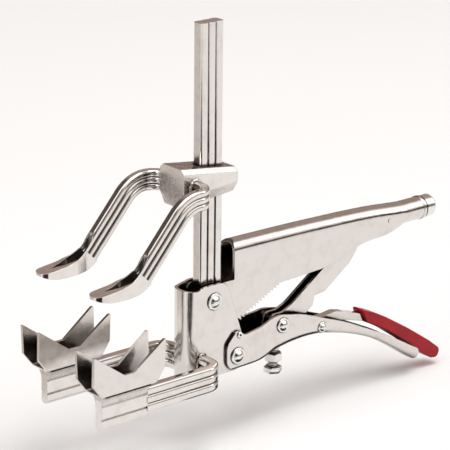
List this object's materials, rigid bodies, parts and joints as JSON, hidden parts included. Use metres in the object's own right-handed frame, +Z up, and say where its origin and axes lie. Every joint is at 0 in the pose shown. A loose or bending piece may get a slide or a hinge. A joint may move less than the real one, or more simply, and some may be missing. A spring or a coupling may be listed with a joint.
{
  "type": "pipe grip pliers",
  "caption": "Locking pliers with a sliding pair of toes above a pair of V-jaws on a bow, toggle handles, a pressure screw and a release lever.",
  "frame": {"origin": "pipe seat: midway between the two V notches, at the height of their roots", "axes": "+X from the pipe towards the handles, +Z up along the rail, Y along the pipe"},
  "size_m": [0.397, 0.0914, 0.3289],
  "materials": {
    "plated_steel": "bright nickel plate on pressed sheet",
    "rolled_steel": "bright nickel plate on rolled bar",
    "cast_steel": "satin nickel plate on a forged block",
    "weld_metal": "plated weld metal, lumpy",
    "fastener_steel": "zinc plate",
    "spring_steel": "drawn wire, oiled",
    "red_vinyl": "thick dipped coating"
  },
  "bodies": {
    "frame": {"rail": "rolled_steel", "upper_handle": "plated_steel", "handle_end_plug": "fastener_steel", "main_pivot_rivet": "fastener_steel", "rail_rivet": "fastener_steel", "spring_pin": "plated_steel", "opening_spring": "spring_steel"},
    "slider": {"slide_block": "cast_steel", "upper_arm_right": "rolled_steel", "upper_arm_left": "rolled_steel", "arm_weld_right": "weld_metal", "arm_weld_left": "weld_metal"},
    "jaw": {"jaw_bracket": "plated_steel", "lower_bow": "rolled_steel", "v_jaw_right": "plated_steel", "v_jaw_left": "plated_steel", "jaw_seat_right": "weld_metal", "jaw_seat_left": "weld_metal", "handle_pivot_rivet": "fastener_steel"},
    "squeeze_handle": {"lower_handle": "plated_steel", "stud_pair": "fastener_steel", "strut_rivet": "fastener_steel", "strut_bushes": "plated_steel", "lever_pin": "fastener_steel", "screw_insert": "fastener_steel", "lever_spring": "spring_steel"},
    "pressure_screw": {"adjusting_screw": "fastener_steel"},
    "screw_lock": {"lock_nut": "fastener_steel"},
    "strut": {"toggle_strut": "plated_steel", "strut_end_pin": "plated_steel"},
    "release": {"release_lever": "plated_steel", "lever_sleeve": "red_vinyl"}
  },
  "joints": [
    {"name": "slider_travel", "type": "slide", "parent": "frame", "child": "slider", "axis": [0, 0, 1], "range_m": [-0.036, 0.1]},
    {"name": "jaw_pivot", "type": "hinge", "parent": "frame", "child": "jaw", "pos_m": [0.1085, 0, 0.023], "axis": [0, 1, 0], "range_deg": [0, 5.7]},
    {"name": "handle_squeeze", "type": "hinge", "parent": "jaw", "child": "squeeze_handle", "pos_m": [0.1305, 0, -0.0265], "axis": [0, -1, 0], "range_deg": [0, 19], "stiffness_Nm_per_rad": 2, "springref_deg": -14.32},
    {"name": "strut_swing", "type": "hinge", "parent": "squeeze_handle", "child": "strut", "pos_m": [0.1805, 0, -0.0138], "axis": [0, 1, 0], "range_deg": [0, 20.9]},
    {"name": "release_press", "type": "hinge", "parent": "squeeze_handle", "child": "release", "pos_m": [0.223, 0, -0.0255], "axis": [0, 1, 0], "range_deg": [0, 2.4], "stiffness_Nm_per_rad": 1, "springref_deg": -11.46},
    {"name": "screw_feed", "type": "slide", "parent": "squeeze_handle", "child": "pressure_screw", "axis": [0, 0, 1], "range_m": [0, 0.0036]},
    {"name": "lock_nut_feed", "type": "slide", "parent": "squeeze_handle", "child": "screw_lock", "axis": [0, 0, 1], "range_m": [0, 0.0026]}
  ],
  "couplings": [
    {"joint": "jaw_pivot", "follows": "handle_squeeze", "ratio": 0.3},
    {"joint": "strut_swing", "follows": "handle_squeeze", "ratio": 1.1}
  ]
}
